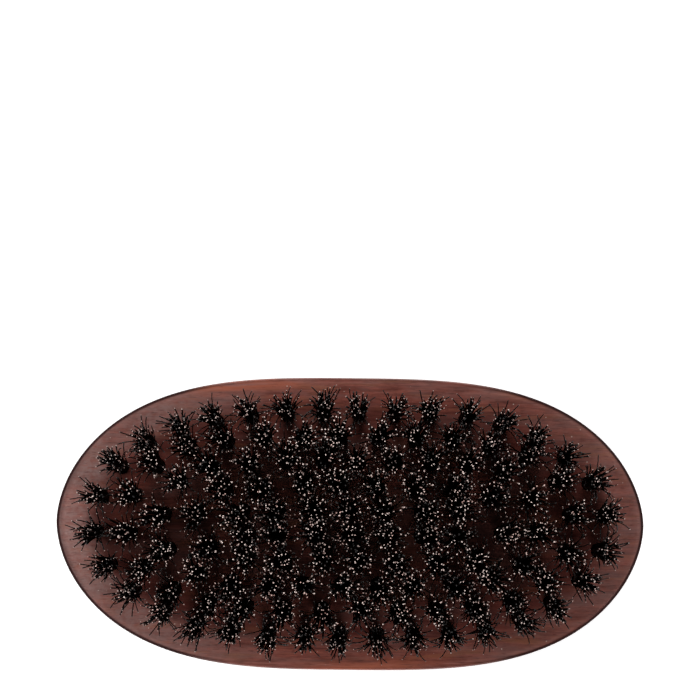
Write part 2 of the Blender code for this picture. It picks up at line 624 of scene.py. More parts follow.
def oval_form(name: str, oval: Oval, levels: Sequence[Level], count: int) -> bpy.types.Object:
    """Model a closed form by extruding an oval from level to level.

    Args:
        name: The piece's name.
        oval: The plan.
        levels: Its levels from the lowest up.
        count: How many points the plan has.

    Returns:
        The new object.
    """
    first = levels[0]
    plan = Oval(first.half_length, first.half_width, oval.end_power, oval.side_power)
    bpy.ops.object.select_all(action="DESELECT")
    bpy.ops.mesh.primitive_circle_add(
        vertices=count, radius=first.half_length, fill_type="NGON", location=(0.0, 0.0, 0.0)
    )
    obj = bpy.context.active_object
    obj.name = obj.data.name = name
    for vertex, (x, y) in zip(obj.data.vertices, plan.points(count)):
        vertex.co = (x, y, first.height)
    with editing(obj):
        bpy.ops.mesh.select_all(action="SELECT")
        for below, above in zip(levels, levels[1:]):
            rise = (0.0, 0.0, above.height - below.height)
            bpy.ops.mesh.extrude_region_move(TRANSFORM_OT_translate={"value": rise})
            growth = (above.half_length / below.half_length, above.half_width / below.half_width)
            bpy.ops.transform.resize(value=(*growth, 1.0), center_override=(0.0, 0.0, 0.0))
    close_normals(obj)
    return obj


@dataclass
class TuftRow:
    """The places of one row's tufts, read from the row's solid in the frame."""

    solid: str
    root_top: float = 17.4 * MM
    root_width: float = 2.0 * MM
    tolerance: float = 0.05 * MM
    places: list[Vector] = field(default_factory=list)

    def __post_init__(self) -> None:
        """Find the tufts: each is a ring of corners at the top of its packed root."""
        groups: list[list[Vector]] = []
        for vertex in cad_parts[self.solid].data.vertices:
            if abs(vertex.co.z - self.root_top) > self.tolerance:
                continue
            near = (g for g in groups if (g[0] - vertex.co).length < self.root_width)
            group = next(near, None)
            if group is None:
                groups.append([vertex.co.copy()])
            else:
                group.append(vertex.co.copy())
        for group in groups:
            lowest = [min(point[axis] for point in group) for axis in (0, 1)]
            highest = [max(point[axis] for point in group) for axis in (0, 1)]
            self.places.append(Vector([(a + b) / 2 for a, b in zip(lowest, highest)]))
        self.places.sort(key=lambda place: place.x)

    @classmethod
    def all_rows(cls) -> list["TuftRow"]:
        """Read every row of the frame.

        Returns:
            The rows, by their numbers.
        """
        solids = [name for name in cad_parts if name.startswith("bristle_row_")]
        rows = [cls(name) for name in solids]
        return sorted(rows, key=lambda row: row.number)

    @property
    def number(self) -> int:
        """The number at the end of the solid's name."""
        return int(self.solid.rsplit("_", 1)[1])

    def path(self, extra: float) -> list[Vector]:
        """The line through the row's tufts, drawn out straight at both ends.

        Args:
            extra: How much longer it is at each end.

        Returns:
            The line's points.
        """
        first, last = self.places[0], self.places[-1]
        start = first + (first - self.places[1]).normalized() * extra
        end = last + (last - self.places[-2]).normalized() * extra
        return [start, *self.places[1:-1], end]


# Finishes


@dataclass(frozen=True)
class Grain:
    """The figure of the wood: bands, streaks and fibres that run along X, and short pores."""

    start: Triple
    band: Noise = Noise((0.02, 0.25, 0.25), Rise(0.3, 0.7), detail=2.0, roughness=0.5)
    streak: Noise = Noise((0.07, 1.5, 1.5))
    mottle: Noise = Noise((0.35, 0.9, 0.9))
    fibre: Noise = Noise((0.3, 4.2, 4.2), Rise(0.3, 0.7), detail=2.0)
    pore: Noise = Noise((0.7, 7.0, 7.0), Rise(0.66, 0.74), detail=0.0, roughness=0.5)
    tone_shares: tuple[float, ...] = (0.2, 0.28, 0.22, 0.3)
    fibre_relief: float = 0.6
    tone_relief: float = 0.4
    pore_relief: float = 0.8

    def read(self, bench: ShaderBench) -> tuple[Signal, ...]:
        """Read the figure.

        Args:
            bench: The material's bench.

        Returns:
            How light the wood is, its finest lines, its pores and its relief.
        """
        layers = [
            layer.read(bench, self.start)
            for layer in (self.band, self.streak, self.mottle, self.fibre)
        ]
        fibres = layers[-1]
        pores = self.pore.read(bench, self.start)
        tone = sum(layer * share for layer, share in zip(layers, self.tone_shares))
        relief = fibres * self.fibre_relief + tone * self.tone_relief - pores * self.pore_relief
        return tone, fibres, pores, relief


@dataclass(frozen=True)
class FaceWood:
    """The face board's finish: red-brown stain, worn and dusty, under a thin satin lacquer, with
    painted sheen at the ends and painted shade among the tufts and on the edge.

    Each colour stands before what says where it shows. Rises along the brush, across it and
    down from the face are in millimetres, and those named for the rim in the oval's reach.
    """

    oval: Oval
    face: float
    face_side: Rise = Rise(1.5, 0.3)
    grain: Grain = Grain(start=(3.1, 7.7, 1.9))
    dark: Colour = tint(62, 28, 24)
    light: Colour = tint(148, 82, 70)
    ashen: Colour = tint(122, 94, 90)
    ash: Noise = Noise((0.1, 0.5, 0.5), Rise(0.42, 0.7, 0.4), (2.0, 6.0, 0.0))
    ochre: Colour = tint(138, 86, 58)
    bloom: Noise = Noise((0.08, 0.7, 0.7), Rise(0.5, 0.72, 0.45), (8.0, 3.0, 0.0))
    cloud_scale: Triple = (0.06, 0.12, 0.12)
    cloud_start: Triple = (5.0, 1.0, 0.0)

    # Dust towards the ends, with a painted sheen in the same colour and mask
    dust_and_sheen: Colour = tint(130, 103, 99)
    left_dust_and_sheen: Rise = Rise(-8.0, -46.0, 0.72)
    right_dust_and_sheen: Rise = Rise(15.0, 48.0, 0.25)
    dust_and_sheen_rim: Rise = Rise(0.45, 0.75)
    dust_and_sheen_cloud: Rise = Rise(0.0, 0.6)
    dust: Noise = Noise((0.9, 1.3, 1.3), Rise(0.3, 0.7), (1.0, 4.0, 0.0), 4.0, 0.7)
    least_dust: float = 0.45

    # Painted shade on the wood among the tufts, deeper towards the ends of the field
    tuft_shade: Colour = tint(70, 24, 19)
    tuft_shade_rim: Rise = Rise(0.8, 0.55)
    tuft_shade_ring: Rise = Rise(0.15, 0.55, 0.4)
    tuft_shade_middle: float = 0.15
    tuft_shade_ends: Rise = Rise(16.0, 28.0, 0.3)

    worn: Colour = tint(166, 88, 62)
    worn_rim: Rise = Rise(0.80, 0.98)
    worn_patches: tuple[tuple[float, Rise, Rise], ...] = (
        (-17.0, Rise(15.0, 3.0), Rise(8.0, 16.0)),
        (4.0, Rise(17.0, 4.0, 0.8), Rise(-8.0, -16.0)),
    )
    worn_streaks: Noise = Noise((0.07, 0.8, 0.3), Rise(0.3, 0.6), (1.0, 2.0, 3.0))
    worn_wall: float = 0.25

    pore: Colour = tint(44, 18, 16)
    pore_share: float = 0.35
    speck: Colour = tint(206, 184, 172)
    speck_share: float = 0.65

    # Edge line: wear and a painted highlight; just inside the rim: wear and painted sheen
    arris_wear_and_glint: Colour = tint(168, 122, 114)
    arris_share: float = 0.2
    arris_rim: float = 0.938
    arris_width: Rise = Rise(0.02, 0.004)
    arris_cloud: Rise = Rise(0.3, 0.6)
    arris_fibres: Rise = Rise(0.1, 0.7)
    rim_wear_and_sheen_band: Rise = Rise(0.86, 0.94, 0.08)

    # Dark stain of the edge and wall, and the colour of the painted shade there and at the ends
    side: Colour = tint(32, 8, 9)
    # Painted shade over the ends of the rim
    left_end_shade: Rise = Rise(-42.0, -47.0, 0.5)
    right_end_shade: Rise = Rise(43.0, 48.0, 0.26)
    end_shade_rim: Rise = Rise(0.9, 0.955)
    wall: Rise = Rise(0.8, 2.0)
    wall_share: float = 0.5
    edge_rim: Rise = Rise(0.951, 0.974)
    edge_flank: Rise = Rise(30.0, 18.0, 0.88)
    edge_share: float = 0.95

    def make(self) -> bpy.types.Material:
        """Mix the finish.

        Returns:
            The material.
        """
        bench, material = ShaderBench.material("face_wood")
        x, y, z = bench.axes(bench.place())
        rim = self.oval.reach(bench)
        depth = self.face / MM - z
        on_face = self.face_side.of(depth)
        cloud = bench.noise(self.cloud_scale, self.cloud_start, detail=3.0, roughness=0.6)
        tone, fibres, pores, relief = self.grain.read(bench)

        # The stained wood
        colour = bench.mix(tone, self.dark, self.light)
        colour = bench.mix(self.ash.read(bench), colour, self.ashen)
        colour = bench.mix(self.bloom.read(bench), colour, self.ochre)

        # Dust and a painted sheen towards the ends, and painted shade among the tufts
        ends = self.left_dust_and_sheen.of(x) + self.right_dust_and_sheen.of(x)
        dust = self.dust.read(bench) + self.least_dust
        dust_and_sheen_mask = ends * self.dust_and_sheen_rim.of(rim) * self.dust_and_sheen_cloud.of(cloud) * dust
        colour = bench.mix(dust_and_sheen_mask, colour, self.dust_and_sheen)
        tuft_shade = self.tuft_shade_rim.of(rim) * (self.tuft_shade_ring.of(rim) + self.tuft_shade_middle)
        tuft_shade = tuft_shade * (1 + self.tuft_shade_ends.of(abs(x)))
        colour = bench.mix(tuft_shade, colour, self.tuft_shade)

        # Worn patches along the rim, pores and specks
        worn = self.worn_streaks.read(bench) * sum(
            along.of(abs(x - middle)) * across.of(y)
            for middle, along, across in self.worn_patches
        )
        worn = worn * (self.worn_wall + on_face * (1 - self.worn_wall))
        colour = bench.mix(self.worn_rim.of(rim) * worn, colour, self.worn)
        colour = bench.mix(pores * self.pore_share, colour, self.pore)
        specks = bench.dots(radius=0.1, share=0.45, scale=(0.7, 0.7, 0.7), start=(9.0, 4.0, 0.0))
        colour = bench.mix(specks * on_face * self.speck_share, colour, self.speck)

        # The worn edge line with a painted highlight, painted shade at the rim's ends, and the
        # dark stain of the edge and wall, with painted shade over it
        arris_wear_and_glint = self.arris_width.of(abs(rim - self.arris_rim)) * self.arris_cloud.of(cloud)
        arris_wear_and_glint = arris_wear_and_glint * self.arris_fibres.of(fibres)
        rim_wear_and_sheen = self.rim_wear_and_sheen_band.of(rim) * on_face
        colour = bench.mix(rim_wear_and_sheen + arris_wear_and_glint * self.arris_share, colour, self.arris_wear_and_glint)
        end_shade = self.left_end_shade.of(x) * self.end_shade_rim.of(rim) + self.right_end_shade.of(x)
        colour = bench.mix(end_shade, colour, self.side)
        wall = self.wall.of(depth)
        edge = self.edge_rim.of(rim) * (1 - wall) * (1 - self.edge_flank.of(abs(x)))
        stained = (wall * self.wall_share).or_more(edge * self.edge_share)
        colour = bench.mix(stained, colour, self.side)

        bench.surface(
            Base_Color=colour,
            Roughness=0.5 + fibres * 0.12 + edge * 0.35,
            Specular_IOR_Level=0.05,
            Coat_Weight=(1 - edge) * 0.2,
            Coat_Roughness=0.3,
            Normal=bench.bump(relief, strength=0.35, depth=0.03 * MM),
        )
        return material


@dataclass(frozen=True)
class BackWood:
    """The back cover's finish: the same stain, a little darker and more polished by the hand."""

    joint: float
    grain: Grain = Grain(start=(11.3, 2.2, 6.4))
    dark: Colour = tint(46, 18, 16)
    light: Colour = tint(98, 46, 38)
    pore: Colour = tint(30, 12, 11)
    pore_share: float = 0.6
    seam: Colour = tint(22, 7, 7)
    seam_line: Rise = Rise(0.3, 0.05, 0.8)

    def make(self) -> bpy.types.Material:
        """Mix the finish.

        Returns:
            The material.
        """
        bench, material = ShaderBench.material("back_wood")
        _, _, z = bench.axes(bench.place())
        tone, fibres, pores, relief = self.grain.read(bench)
        colour = bench.mix(tone, self.dark, self.light)
        colour = bench.mix(pores * self.pore_share, colour, self.pore)
        colour = bench.mix(self.seam_line.of(self.joint / MM - z), colour, self.seam)
        bench.surface(
            Base_Color=colour,
            Roughness=0.46 + fibres * 0.12,
            Specular_IOR_Level=0.2,
            Coat_Weight=0.2,
            Coat_Roughness=0.28,
            Normal=bench.bump(relief, strength=0.3, depth=0.03 * MM),
        )
        return material


@dataclass(frozen=True)
class BristleHair:
    """Natural bristle: near black, a few hairs brown, darker to the root as painted shade, and
    pale just below some cut tips, partly as a painted highlight.

    Rises named for hairs are in a hair's tone, and those named for a part in its own height.
    """

    black: Colour = tint(15, 9, 8)
    brown: Colour = tint(88, 64, 54)
    brown_hairs: Rise = Rise(0.92, 0.98)
    root: Colour = tint(10, 7, 6)
    # Darker towards the root: painted shade; the mottling is random tone
    root_shade_part: Rise = Rise(0.5, 0.1)
    root_mottle: Rise = Rise(0.4, 0.8, 0.3)
    # Pale below the cut tips: paler flagged ends, partly a painted highlight
    pale: Colour = tint(180, 158, 152)
    pale_and_sheen_hairs: Rise = Rise(0.65, 0.8, 0.65)
    pale_and_sheen_part: Rise = Rise(0.965, 0.985)
    longer_hairs: Rise = Rise(0.88, 0.96, 0.05)

    def make(self) -> bpy.types.Material:
        """Mix the finish.

        Returns:
            The material.
        """
        bench, material = ShaderBench.material("bristle_hair")
        tone = bench.attribute("hair_tone")
        height = bench.attribute("hair_rise")
        mottle = bench.noise((3.0, 3.0, 0.6))
        colour = bench.mix(self.brown_hairs.of(tone), self.black, self.brown)
        # Painted shade towards the root, then random dark mottling
        colour = bench.mix(self.root_shade_part.of(height), colour, self.root)
        colour = bench.mix(self.root_mottle.of(mottle), colour, self.root)
        # Paler flagged ends, partly a painted highlight
        end = self.pale_and_sheen_part.of(height + self.longer_hairs.of(tone))
        colour = bench.mix(end * self.pale_and_sheen_hairs.of(tone), colour, self.pale)
        bench.surface(Base_Color=colour, Roughness=0.42 + mottle * 0.12, Specular_IOR_Level=0.15)
        return material


@dataclass(frozen=True)
class CutTip:
    """The cut end of a bristle: pale horn, from grey to pinkish white, partly a painted glint."""

    low: Colour = tint(13, 10, 9)
    middle: Colour = tint(144, 119, 112)
    # The brightest tips are partly a painted glint
    high: Colour = tint(228, 208, 200)
    stops: Triple = (0.28, 0.46, 0.82)
    pink: Colour = tint(240, 190, 180)
    blush: Noise = Noise((0.7, 0.7, 0.7), Rise(0.5, 0.75, 0.6), detail=1.0, roughness=0.5)

    def make(self) -> bpy.types.Material:
        """Mix the finish.

        Returns:
            The material.
        """
        bench, material = ShaderBench.material("cut_tip")
        tone = bench.attribute("hair_tone")
        stops = [(0.0, self.low), *zip(self.stops, (self.low, self.middle, self.high))]
        ramp = bench.node("ShaderNodeValToRGB", {"stops": stops}, {"Fac": tone})
        blush = self.blush.read(bench)
        colour = bench.mix(blush, ramp.outputs["Color"], self.pink, "MULTIPLY")
        bench.surface(Base_Color=colour, Roughness=0.4)
        return material


@dataclass(frozen=True)
class GlueBed:
    """Dark glue over the folds of the tufts, with the ends of hairs showing in it."""

    glue: Colour = tint(34, 20, 15)
    hairs: Colour = tint(14, 11, 10)
    lumps: Rise = Rise(0.45, 0.7)

    def make(self) -> bpy.types.Material:
        """Mix the finish.

        Returns:
            The material.
        """
        bench, material = ShaderBench.material("glue_bed")
        lumps = bench.noise((1.6, 1.6, 1.6), detail=3.0, roughness=0.6)
        hairs = bench.dots(radius=0.4, share=0.8, scale=(4.0, 4.0, 4.0))
        colour = bench.mix(hairs.or_more(self.lumps.of(lumps)), self.glue, self.hairs)
        bench.surface(
            Base_Color=colour,
            Roughness=0.42 + lumps * 0.2,
            Normal=bench.bump(lumps, strength=0.5, depth=0.1 * MM),
        )
        return material


@dataclass(frozen=True)
class DrawnWire:
    """Tinned steel wire with the fine lines that drawing leaves."""

    bright: Colour = (0.60, 0.59, 0.56)
    dull: Colour = (0.36, 0.34, 0.31)
    dull_share: float = 0.6
    spots: Noise = Noise((0.9, 0.9, 0.9), Rise(0.5, 0.75), detail=2.0, roughness=0.5)

    def make(self) -> bpy.types.Material:
        """Mix the finish.

        Returns:
            The material.
        """
        bench, material = ShaderBench.material("drawn_wire")
        lines = bench.noise((0.3, 22.0, 22.0))
        spots = self.spots.read(bench)
        colour = bench.mix(spots * self.dull_share, self.bright, self.dull)
        bench.surface(
            Base_Color=colour,
            Metallic=1.0,
            Roughness=0.26 + lines * 0.12 + spots * 0.15,
            Normal=bench.bump(lines, strength=0.2, depth=0.01 * MM),
        )
        return material


# Pieces


@dataclass
class BackCover:
    """The domed cover: a flat land, a full round shoulder and a fine groove at the joint."""

    oval: Oval = Oval()
    joint: float = JOINT
    thickness: float = 10.7 * MM
    land: Pair = (46.0 * MM, 20.0 * MM)
    land_ease: float = 0.97
    shoulder_power: float = 2.3
    shoulder_steps: int = 26
    groove: float = GROOVE

    def levels(self) -> list[Level]:
        """The form's levels, from the land up to the joint.

        Returns:
            The levels.
        """
        half_land = (self.land[0] / 2, self.land[1] / 2)
        levels = [Level(half_land[0] * self.land_ease, half_land[1] * self.land_ease, 0.0)]
        for rise, reach in reversed(corner(self.shoulder_steps, self.shoulder_power)):
            levels.append(
                Level(
                    half_land[0] + (self.oval.half_length - half_land[0]) * reach,
                    half_land[1] + (self.oval.half_width - half_land[1]) * reach,
                    self.thickness * (1 - rise),
                )
            )
        top = levels[-1]
        levels.append(Level(top.half_length, top.half_width, self.joint - self.groove))
        levels.append(
            Level(top.half_length - self.groove, top.half_width - self.groove, self.joint)
        )
        return levels

    def build(self, finish: bpy.types.Material) -> bpy.types.Object:
        """Model the cover.

        Args:
            finish: Its material.

        Returns:
            The new object.
        """
        cover = oval_form("back_cover_wood", self.oval, self.levels(), PLAN_POINTS)
        cover.data.materials.append(finish)
        shade(cover, WOOD_EDGE)
        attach(cover, "root")
        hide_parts("back_cover")
        return cover


@dataclass
class FaceBoard:
    """The bristle board: eased edge, drilled face, and a channel behind each row."""

    rows: list[TuftRow]
    oval: Oval = Oval()
    joint: float = JOINT
    face: float = FACE
    groove: float = GROOVE
    chamfer_depth: float = 1.4 * MM
    chamfer: Pair = (0.85 * MM, 0.30 * MM)
    chamfer_power: float = 1.4
    chamfer_steps: int = 9
    rim_width: float = 0.3 * MM
    hole_radius: float = 1.2 * MM
    hole_sides: int = 24
    flare: float = 0.1 * MM
    channel_top: float = 13.7 * MM
    channel_width: float = 2.48 * MM
    channel_extra: float = 2.2 * MM
    overrun: float = 1.0 * MM

    def levels(self) -> list[Level]:
        """The form's levels, from the joint up to the face.

        Returns:
            The levels.
        """
        length, width = self.oval.half_length, self.oval.half_width
        levels = [Level(length - self.groove, width - self.groove, self.joint)]
        levels.append(Level(length, width, self.joint + self.groove))
        for rise, reach in corner(self.chamfer_steps, self.chamfer_power):
            levels.append(
                Level(
                    length - self.chamfer[0] * (1 - reach),
                    width - self.chamfer[1] * (1 - reach),
                    self.face - self.chamfer_depth * (1 - rise),
                )
            )
        edge = levels[-1]
        length, width = edge.half_length - self.rim_width, edge.half_width - self.rim_width
        levels.append(Level(length, width, self.face))
        return levels

    def drill(self) -> bpy.types.Object:
        """Model the pins that drill the holes, each flared a little at the face.

        Returns:
            All pins as one cutter.
        """
        bottom = self.channel_top - self.overrun
        bpy.ops.object.select_all(action="DESELECT")
        bpy.ops.mesh.primitive_cylinder_add(
            vertices=self.hole_sides,
            radius=self.hole_radius,
            depth=self.face - self.flare - bottom,
            location=(0.0, 0.0, 0.0),
        )
        pin = bpy.context.active_object
        middle = (self.face - self.flare + bottom) / 2
        growth = (self.hole_radius + 2 * self.flare) / self.hole_radius
        with editing(pin):
            bpy.ops.mesh.select_all(action="SELECT")
            bpy.ops.transform.translate(value=(0.0, 0.0, middle))
            select_faces(pin, lambda side: side.normal.z > UPWARD)
            bpy.ops.mesh.extrude_region_move(
                TRANSFORM_OT_translate={"value": (0.0, 0.0, 2 * self.flare)}
            )
            bpy.ops.transform.resize(value=(growth, growth, 1.0), center_override=(0.0, 0.0, 0.0))
        pins = []
        for place in (place for row in self.rows for place in row.places):
            mesh = pin.data.copy()
            mesh.transform(Matrix.Translation((place.x, place.y, 0.0)))
            pins.append(placed("pin", mesh))
        bpy.data.objects.remove(pin, do_unlink=True)
        return join(pins, "tuft_drill")

    def channel_cutter(self) -> bpy.types.Object:
        """Model the bars that cut the channels, one along each row.

        Returns:
            All bars as one cutter.
        """
        bars = [self._bar(row) for row in self.rows]
        return join(bars, "channel_cutter")

    def _bar(self, row: TuftRow) -> bpy.types.Object:
        """Draw out one bar along a row.

        Args:
            row: The row.

        Returns:
            The bar.
        """
        path = row.path(self.channel_extra)
        bottom = self.joint - self.overrun
        bpy.ops.object.select_all(action="DESELECT")
        bpy.ops.mesh.primitive_plane_add(size=1.0 * MM, location=(0.0, 0.0, 0.0))
        bar = bpy.context.active_object
        with editing(bar, Pick.VERTS):
            bpy.ops.mesh.select_all(action="SELECT")
            bpy.ops.mesh.merge(type="CENTER")
            bpy.ops.transform.translate(value=(path[0].x, path[0].y, bottom))
            for here, there in zip(path, path[1:]):
                step = (*(there - here), 0.0)
                bpy.ops.mesh.extrude_region_move(TRANSFORM_OT_translate={"value": step})
            bpy.ops.mesh.select_all(action="SELECT")
            rise = (0.0, 0.0, self.channel_top - bottom)
            bpy.ops.mesh.extrude_region_move(TRANSFORM_OT_translate={"value": rise})
        activate(bar)
        solidify = bar.modifiers.new("width", "SOLIDIFY")
        solidify.thickness = self.channel_width
        solidify.offset = 0.0
        solidify.use_even_offset = True
        bpy.ops.object.modifier_apply(modifier=solidify.name)
        close_normals(bar)
        return bar

    def build(self, finish: bpy.types.Material) -> bpy.types.Object:
        """Model the board and cut it.

        Args:
            finish: Its material.

        Returns:
            The new object.
        """
        board = oval_form("face_board_wood", self.oval, self.levels(), PLAN_POINTS)
        board.data.materials.append(finish)
        cut(board, self.channel_cutter())
        cut(board, self.drill())
        shade(board, WOOD_EDGE)
        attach(board, "root")
        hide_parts("face_board")
        return board


@dataclass
class Bristle:
    """One bristle, a unit high and wide, from which all others are bent and scaled."""

    sides: int = 5
    cuts: tuple[float, ...] = (0.3, 0.55, 0.8)
    corners: np.ndarray = field(init=False)
    faces: list[tuple[int, ...]] = field(init=False)
    is_tip: np.ndarray = field(init=False)

    def __post_init__(self) -> None:
        """Model the bristle: a thin round cut into segments, whose end is its cut tip."""
        bpy.ops.object.select_all(action="DESELECT")
        bpy.ops.mesh.primitive_cylinder_add(
            vertices=self.sides, radius=1.0, depth=1.0, location=(0.0, 0.0, 0.0)
        )
        hair = bpy.context.active_object
        with editing(hair):
            bpy.ops.mesh.select_all(action="SELECT")
            bpy.ops.transform.translate(value=(0.0, 0.0, 0.5))
            for height in self.cuts:
                bpy.ops.mesh.select_all(action="SELECT")
                bpy.ops.mesh.bisect(plane_co=(0.0, 0.0, height), plane_no=(0.0, 0.0, 1.0))
        mesh = hair.data
        self.corners = np.array([vertex.co for vertex in mesh.vertices])
        self.faces = [tuple(face.vertices) for face in mesh.polygons]
        self.is_tip = np.array([face.normal.z > UPWARD for face in mesh.polygons])
        bpy.data.objects.remove(hair, do_unlink=True)


@dataclass
class BristleRow:
    """The tufts of one row: their bristles, on the glue bed that holds them in the channel.

    A tuft is a core that spreads from its hole, and strays that reach further out. Growth,
    jitter, share and wander change from the first number, in the middle of the field, to the
    second, at its edge.
    """

    row: TuftRow
    bristle: Bristle
    per_tuft: int = 72
    hole_reach: float = 1.03 * MM
    root: float = 16.0 * MM
    root_jitter: float = 0.03 * MM
    face: float = FACE
    bed_cut: float = 16.6 * MM
    tip: float = 31.49 * MM
    crown_drop: float = 0.8 * MM
    uneven: float = 0.5 * MM
    field_reach: Pair = (43.1 * MM, 18.5 * MM)
    edge_falloff: float = 2.4
    lean: Pair = (0.75 * MM, 1.15 * MM)
    tuft_wander: Pair = (0.42 * MM, 0.25 * MM)
    core_growth: Pair = (2.55, 2.12)
    core_jitter: Pair = (0.42 * MM, 0.25 * MM)
    stray_share: Pair = (0.3, 0.34)
    stray_least: float = 0.5
    stray_reach: Pair = (2.1 * MM, 4.3 * MM)
    stray_falloff: float = 1.7
    stray_turn: float = 0.6
    stray_upright: float = 0.7
    splay_drop: float = 2.2
    bend_height: float = 0.5
    bend_share: Pair = (0.12, 0.3)
    bend_jitter: float = 0.25 * MM
    stray_bend: float = 1.8
    thickness: Pair = (0.115 * MM, 0.15 * MM)
    stray_thinness: float = 0.75
    tip_size: Pair = (0.7, 1.0)
    edge_tone: float = 0.96
    fringe_fade: float = 0.42
    # Strays' tones stay low, so their cut tips are dark: painted shade for caps that face
    # sideways
    stray_shade_tone: float = 0.6
    sharp_edge: float = 80.0

    def build(self, finishes: Sequence[bpy.types.Material]) -> bpy.types.Object:
        """Model the row.

        Args:
            finishes: The materials of hair, cut tips and glue.

        Returns:
            The new object.
        """
        rng = np.random.default_rng(SEED + self.row.number)
        hairs = self._hairs(rng)
        bed = self._bed()
        for obj in (hairs, bed):
            for finish in finishes:
                obj.data.materials.append(finish)
        glue = len(finishes) - 1
        bed.data.polygons.foreach_set("material_index", [glue] * len(bed.data.polygons))
        piece = join([hairs, bed], f"tufts_row_{self.row.number}")
        shade(piece, self.sharp_edge)
        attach(piece, "root")
        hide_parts(self.row.solid)
        return piece

    def _bed(self) -> bpy.types.Object:
        """Copy the row's bed from the frame, with its packed roots cut off in their holes.

        Returns:
            The bed.
        """
        bed = placed("bed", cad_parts[self.row.solid].data.copy())
        bed.data.materials.clear()
        close_normals(bed)
        with editing(bed):
            bpy.ops.mesh.select_all(action="SELECT")
            bpy.ops.mesh.bisect(
                plane_co=(0.0, 0.0, self.bed_cut),
                plane_no=(0.0, 0.0, 1.0),
                use_fill=True,
                clear_outer=True,
            )
        return bed

    def _roots(self, rng: np.random.Generator) -> tuple[np.ndarray, np.ndarray]:
        """Pack the bristles of a tuft in its hole, each a golden angle on from the last.

        Args:
            rng: The row's random numbers.

        Returns:
            Their places from the hole's middle, and how far out each was before its jitter.
        """
        steps = np.arange(self.per_tuft)
        angles = steps * GOLDEN_ANGLE + rng.uniform(0.0, 2 * math.pi)
        reach = self.hole_reach * np.sqrt((steps + 0.5) / self.per_tuft)
        start = np.stack([np.cos(angles), np.sin(angles)], 1) * reach[:, None]
        start += rng.normal(0.0, self.root_jitter, start.shape)
        start *= np.minimum(1.0, self.hole_reach / np.linalg.norm(start, axis=1))[:, None]
        return start, reach

    def _spread(
        self,
        start: np.ndarray,
        reach: np.ndarray,
        across: np.ndarray,
        inside: float,
        rng: np.random.Generator,
    ) -> tuple[np.ndarray, np.ndarray, np.ndarray]:
        """Spread the tips of a tuft: those of its core, and those of its strays.

        Args:
            start: Where the bristles start, from the hole's middle.
            reach: How far out each is in the hole.
            across: Where the hole is in the field, with 1 at the field's edge.
            inside: 1 where the tuft is well inside the field, and 0 at its edge.
            rng: The row's random numbers.

        Returns:
            The tips' places from the hole's middle, how far the whole tuft drifts, and which
            bristles stray.
        """
        pairs = (self.core_growth, self.core_jitter, self.stray_share, self.tuft_wander)
        growth, jitter, share_of_strays, wander = (
            at_edge + (in_middle - at_edge) * inside for in_middle, at_edge in pairs
        )
        lean = across * np.array(self.lean)
        drift = lean + rng.normal(0.0, wander, 2)
        core = start * growth + rng.normal(0.0, jitter, start.shape)
        chances = share_of_strays * (self.stray_least + reach / self.hole_reach)
        is_stray = rng.random(len(start)) < chances
        bearing = np.arctan2(start[:, 1], start[:, 0])
        bearing += rng.normal(0.0, self.stray_turn, len(start))
        near, farthest = self.stray_reach
        far = near + (farthest - near) * rng.random(len(start)) ** self.stray_falloff
        stray = np.stack([np.cos(bearing), np.sin(bearing)], 1) * far[:, None]
        stray -= lean * self.stray_upright
        return np.where(is_stray[:, None], stray, core) + drift, drift, is_stray

    def _tuft(self, centre: np.ndarray, rng: np.random.Generator) -> tuple[np.ndarray, ...]:
        """Where each bristle of one tuft starts, bends and ends, its tone and its radius.

        Args:
            centre: The X and Y of the middle of the tuft's hole.
            rng: The row's random numbers.

        Returns:
            The roots, bends and tips, each with a row of three numbers for each bristle, and
            the tones and radii, with one number for each.
        """
        count = self.per_tuft
        across = centre / np.array(self.field_reach)
        edge = min(float(across @ across), 1.0)
        inside = min(1.0, max(0.0, self.edge_falloff * (1.0 - edge)))
        start, reach = self._roots(rng)
        offset, drift, is_stray = self._spread(start, reach, across, inside, rng)

        height = self.tip - self.crown_drop * edge - rng.uniform(0.0, self.uneven, count)
        splay = np.linalg.norm(offset, axis=1)
        height -= splay**2 / (self.splay_drop * (self.tip - self.face))
        share = rng.uniform(*self.bend_share, count)[:, None]
        bend = centre + start + drift + (offset - drift - start) * share
        wobble = self.bend_jitter * np.where(is_stray, self.stray_bend, 1.0)[:, None]
        bend += rng.normal(0.0, 1.0, bend.shape) * wobble
        bend_height = self.root + (height - self.root) * self.bend_height

        fade = self.edge_tone - self.fringe_fade * reach / self.hole_reach
        fade += (1.0 - fade) * inside
        tones = rng.random(count) * np.where(is_stray, self.stray_shade_tone, fade)
        radii = rng.uniform(*self.thickness, count)
        radii *= np.where(is_stray, self.stray_thinness, 1.0)
        roots = np.column_stack([centre + start, np.full(count, self.root)])
        bends = np.column_stack([bend, bend_height])
        return roots, bends, np.column_stack([centre + offset, height]), tones, radii

